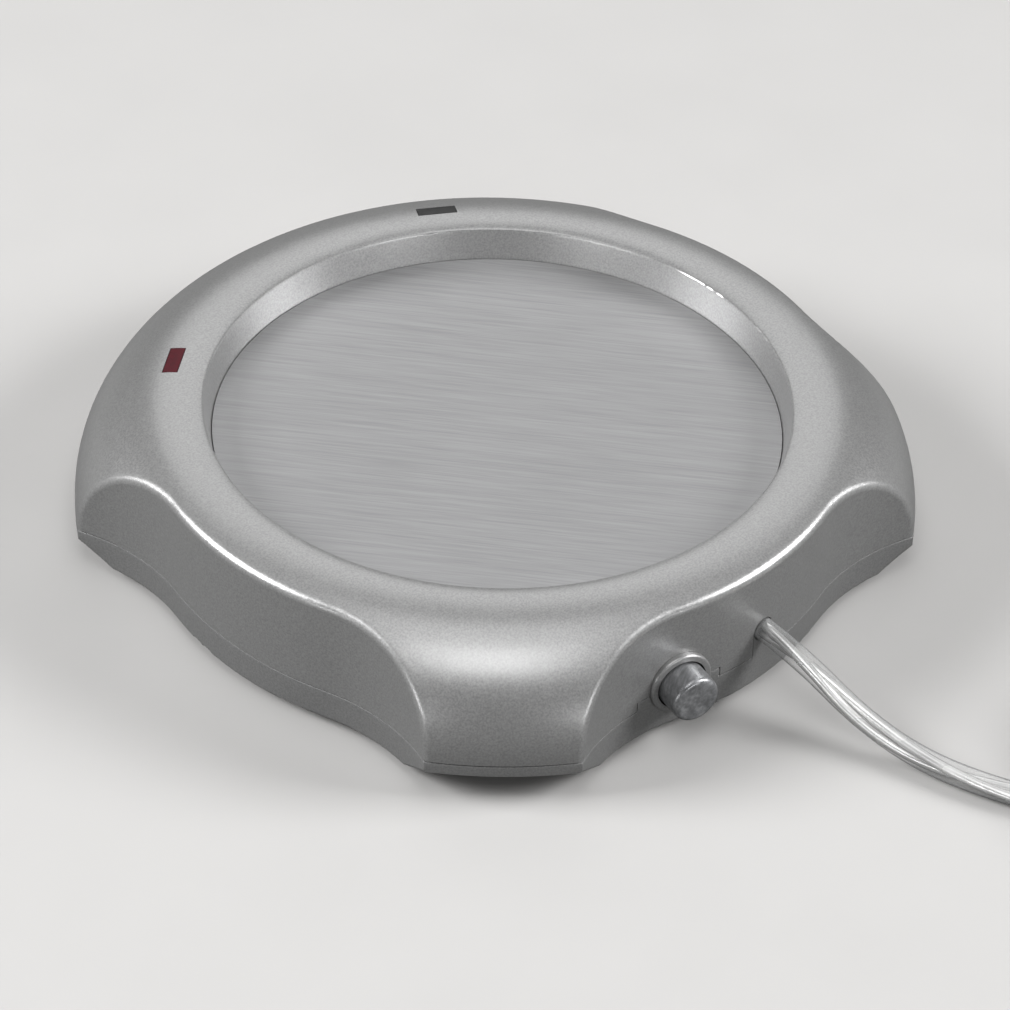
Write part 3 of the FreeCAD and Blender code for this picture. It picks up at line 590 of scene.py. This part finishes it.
def addRelief(s, material):
    # Ribbed strain relief: rings pushed out along the cord one after another, wide and narrow by turns
    low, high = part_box("plug_relief")
    length = high[0] - low[0]
    middle = Vector(((low[0] + high[0]) / 2, (low[1] + high[1]) / 2, (low[2] + high[2]) / 2))
    deselectAll()
    bpy.ops.mesh.primitive_circle_add(vertices=s["sides"], radius=s["cordRadius"] * mm, fill_type="NGON",
                                      location=(low[0], middle.y, middle.z), rotation=(0, math.pi / 2, 0))
    relief = bpy.context.object
    relief.name = "plugStrainRelief"
    bpy.ops.object.mode_set(mode="EDIT")
    bpy.ops.mesh.select_all(action="SELECT")
    radius, at = s["cordRadius"], 0.0
    pitch = length / s["ribs"]
    for i in range(s["ribs"]):
        wide = s["cordRadius"] + (s["wideRadius"] - s["cordRadius"]) * (i + 1) / s["ribs"]
        narrow = wide - s["grooveDepth"]
        last = i == s["ribs"] - 1
        ribEnd = s["lastRibEnd"] if last else s["ribEnd"]
        rings = [(s["shoulderStart"], wide - s["shoulder"]), (s["ribStart"], wide), (ribEnd, wide)]
        if not last:
            rings += [(s["grooveStart"], narrow), (1.0, narrow)]
        for part, nextRadius in rings:
            place = (i + part) * pitch
            bpy.ops.mesh.extrude_region_move(TRANSFORM_OT_translate={"value": (place - at, 0, 0)})
            bpy.ops.transform.resize(value=(1, nextRadius / radius, nextRadius / radius),
                                     center_override=(low[0] + place, middle.y, middle.z))
            radius, at = nextRadius, place
    bpy.ops.mesh.extrude_region_move(TRANSFORM_OT_translate={"value": (length - at, 0, 0)})
    bpy.ops.mesh.select_all(action="SELECT")
    bpy.ops.mesh.normals_make_consistent(inside=False)
    bpy.ops.object.mode_set(mode="OBJECT")
    addSoftEdges(relief, s["softEdge"], 35)
    atOrigin(relief)
    bpy.ops.object.shade_smooth_by_angle(angle=math.radians(35))
    paint(relief, material)
    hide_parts("plug_relief")
    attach(relief, "housing")
    return relief


# The grips' start and end are shares of the plug's length
plugSettings = {
    "corner": 1.5,
    "panelInset": 1.8,
    "grips": 5,
    "gripHeight": 0.4,
    "gripStart": 0.16,
    "gripEnd": 0.62,
    "softEdge": 0.12,
}


def addPlugBody(s, material):
    # Moulded grip: a rounded block with a sunk panel on top and bottom, crossed by raised finger grips
    low, high = (Vector(v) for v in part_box("plug_body"))
    size, middle = high - low, (low + high) / 2
    deselectAll()
    bpy.ops.mesh.primitive_cube_add(size=1.0, location=middle, scale=size)
    plug = bpy.context.object
    plug.name = "plugGrip"
    atOrigin(plug)
    bpy.ops.object.mode_set(mode="EDIT")
    selectFaces(plug, lambda face: abs(face.normal.z) > 0.9)
    bpy.ops.mesh.inset(thickness=s["panelInset"] * mm, use_individual=True)
    for x in (s["gripStart"], s["gripEnd"]):
        bpy.ops.mesh.select_all(action="SELECT")
        bpy.ops.mesh.bisect(plane_co=(low.x + size.x * x, 0, 0), plane_no=(1, 0, 0))
    share = s["gripEnd"] - s["gripStart"]
    for i in range(1, 2 * s["grips"]):
        bpy.ops.mesh.select_all(action="SELECT")
        x = s["gripStart"] + share * i / (2 * s["grips"])
        bpy.ops.mesh.bisect(plane_co=(low.x + size.x * x, 0, 0), plane_no=(1, 0, 0))

    def onPanel(face):
        inside = abs(face.center.y - middle.y) < size.y / 2 - s["panelInset"] * mm * 1.01
        along = (face.center.x - low.x) / size.x
        return abs(face.normal.z) > 0.9 and inside and s["gripStart"] < along < s["gripEnd"]

    def groove(face):
        step = ((face.center.x - low.x) / size.x - s["gripStart"]) / share * 2 * s["grips"]
        return onPanel(face) and int(step) % 2 == 0

    for sign in (-1, 1):
        selectFaces(plug, lambda face: groove(face) and face.normal.z * sign > 0)
        depth = -sign * s["gripHeight"] * mm
        bpy.ops.mesh.extrude_region_move(TRANSFORM_OT_translate={"value": (0, 0, depth)})
    bpy.ops.mesh.select_all(action="SELECT")
    bpy.ops.mesh.remove_doubles(threshold=0.000002)
    bpy.ops.mesh.normals_make_consistent(inside=False)
    bpy.ops.object.mode_set(mode="OBJECT")
    weights = plug.data.attributes.new("bevel_weight_edge", "FLOAT", "EDGE")
    for edge in plug.data.edges:
        a, b = (plug.data.vertices[v].co for v in edge.vertices)
        outer = sum(abs(abs((a[k] + b[k]) / 2 - middle[k]) - size[k] / 2) < 1e-6 for k in range(3))
        weights.data[edge.index].value = 1.0 if outer >= 2 else 0.0
    corners = plug.modifiers.new("roundCorners", "BEVEL")
    corners.width, corners.segments, corners.limit_method = s["corner"] * mm, 5, "WEIGHT"
    bpy.ops.object.modifier_apply(modifier="roundCorners")
    addSoftEdges(plug, s["softEdge"], 50)
    bpy.ops.object.shade_smooth_by_angle(angle=math.radians(35))
    paint(plug, material)
    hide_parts("plug_body")
    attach(plug, "housing")
    return plug


def addFloor():
    # A pale seamless sweep under the object
    deselectAll()
    bpy.ops.mesh.primitive_plane_add(size=6.0, location=(0, 0, 0))
    floor = bpy.context.object
    floor.name = "floor"
    # Pale paper to the eye; the light it bounces on to the object's walls takes a dark grey instead, a
    # painted shade that darkens those walls
    material, tree, shader = startMaterial("paperSweep", {"Roughness": 0.85})
    paper = ramp(tree, noise(tree, 25.0, 4.0), [(0.3, "acabaa"), (0.7, "aeadac")])
    seen = addNode(tree, "ShaderNodeLightPath").outputs["Is Camera Ray"]
    bounce = addNode(tree, "ShaderNodeMix", {0: seen}, data_type="RGBA")
    # Dark grey for bounced light only: painted shade on the object's walls
    bounce.inputs[6].default_value = hexColour("4c4c4b")
    tree.links.new(paper, bounce.inputs[7])
    tree.links.new(bounce.outputs[2], shader.inputs["Base Color"])
    paint(floor, material)


addCamera(cameraSettings)
addLights(lightSettings)
addFloor()
print("stage ready")

cord, line = addCord(cordSettings)
print("cord line", round(sum((b - a).length for a, b in zip(line, line[1:])), 4))
strands = [
    addStrand("conductorOne", line, cordSettings, 0.0),
    addStrand("conductorTwo", line, cordSettings, math.pi),
]
paint(cord, clearVinyl())
copper = tinnedCopper()
for strand in strands:
    paint(strand, copper)
    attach(strand, "housing")
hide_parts("power_cord", "cord_coil", "cord_tail")
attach(cord, "housing")
print("cord ready")

upperPaint = silverPaint("silverLacquer", "929292", "a6a6a6", 0.34)
lowerPaint = silverPaint("silverLacquerLow", "8a8a8a", "9c9c9c", 0.38)
vinyl = moulded("mouldedVinyl", "b6b8ba", "c6c8ca", 0.42, 0.5, 0.02)
zinc = sheetMetal("zincPlatedSteel", "9d9fa2", "c9cacc", 0.25, 0.3)
blackNylon = moulded("blackNylon", "161617", "202122", 0.45, 0.4, 0.02)
rubber = moulded("blackRubber", "1d1d1e", "2a2a2b", 0.75, 0.3, 0.03)
leadCover = moulded("siliconeRubber", "b9b8b2", "cbcac4", 0.55, 0.6, 0.01)
clearResin = moulded("clearEpoxy", "d8d8d6", "e6e6e4", 0.12, 1.0, 0.002, **{"Transmission Weight": 0.7})

smoothCopy("top_cover", "housing", upperPaint)
smoothCopy("bottom_cover", "housing", lowerPaint, edgeTest=seamEdge,
           edge=seamSettings["round"])
plate = smoothCopy("warming_plate", "housing", brushedAluminium())
# The plate's top reaches out almost to the recess's wall, so that only a hairline shows round it
plateTop, plateGrowth = 0.0189, 1.0085
bpy.ops.object.mode_set(mode="EDIT")
selectFaces(plate, lambda face: face.normal.z > 0.9 and face.center.z > plateTop)
bpy.ops.transform.resize(value=(plateGrowth, plateGrowth, 1), center_override=plateAxis)
bpy.ops.object.mode_set(mode="OBJECT")
smoothCopy("power_button", "button", rubbedSilver())
ringPaint = silverPaint("silverLacquerRing", "939393", "a3a3a3", 0.36)
smoothCopy("button_collar", "housing", ringPaint)
lensSheen = {"Specular IOR Level": 0.15}
redAcrylic = moulded("redAcrylic", "3a0f16", "47151c", 0.4, 0.8, 0.004, **lensSheen)
smoothCopy("red_lens", "housing", redAcrylic)
smokedAcrylic = moulded("smokedAcrylic", "2a2a2a", "343434", 0.4, 0.8, 0.004, **lensSheen)
smoothCopy("grey_lens", "housing", smokedAcrylic)
softPvc = moulded("softPvc", "1b1b1c", "29292a", 0.75, 0.3, 0.02)
tie = smoothCopy("cord_tie", "housing", softPvc, edgeTest=tieEdge, edge=tieRound)
print("housing ready")

addSpring(springSettings, zinc)
relief = addRelief(reliefSettings, vinyl)
plug = addPlugBody(plugSettings, vinyl)
print("plug ready")

finishes = {
    zinc: ("stack_screws", "cover_screws", "board_screws", "clamp_screws"),
    moulded("greySilicone", "8c8d8e", "9b9c9d", 0.6, 0.5, 0.01): ("plate_seal",),
    sheetMetal("galvanisedSheet", "8b8d90", "b0b2b4", 0.4, 0.8): ("heat_shield", "cutout_clip"),
    sheetMetal("nickelPlate", "a9a8a4", "cfcec9", 0.2, 0.4): ("plug_shell",),
    sheetMetal("goldFlash", "b08a3a", "d9b45c", 0.22, 0.3): ("plug_contacts",),
    sheetMetal("drawnAluminium", "9fa1a3", "c3c5c7", 0.3, 0.5): ("thermal_cutout",),
    rubber: ("foot_back_right", "foot_back_left", "foot_front_left", "foot_front_right"),
    blackNylon: ("board_parts", "switch_plunger", "push_switch", "cord_clamp"),
    circuitBoard(): ("lamp_board", "control_board"),
    leadCover: ("supply_leads", "heater_leads", "lamp_leads"),
    clearResin: ("heating_lamp", "standby_lamp"),
    heaterFilm(): ("heater_disc",),
    needledFibre(): ("insulation_pad",),
    moulded("whiteNylon", "d9d9d4", "e8e8e3", 0.4, 0.4, 0.01): ("plug_tongue",),
    cord.data.materials[0]: ("cord_inner_end",),
}
for material, names in finishes.items():
    for name in names:
        paint(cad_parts[name], material)
print("finishes ready")
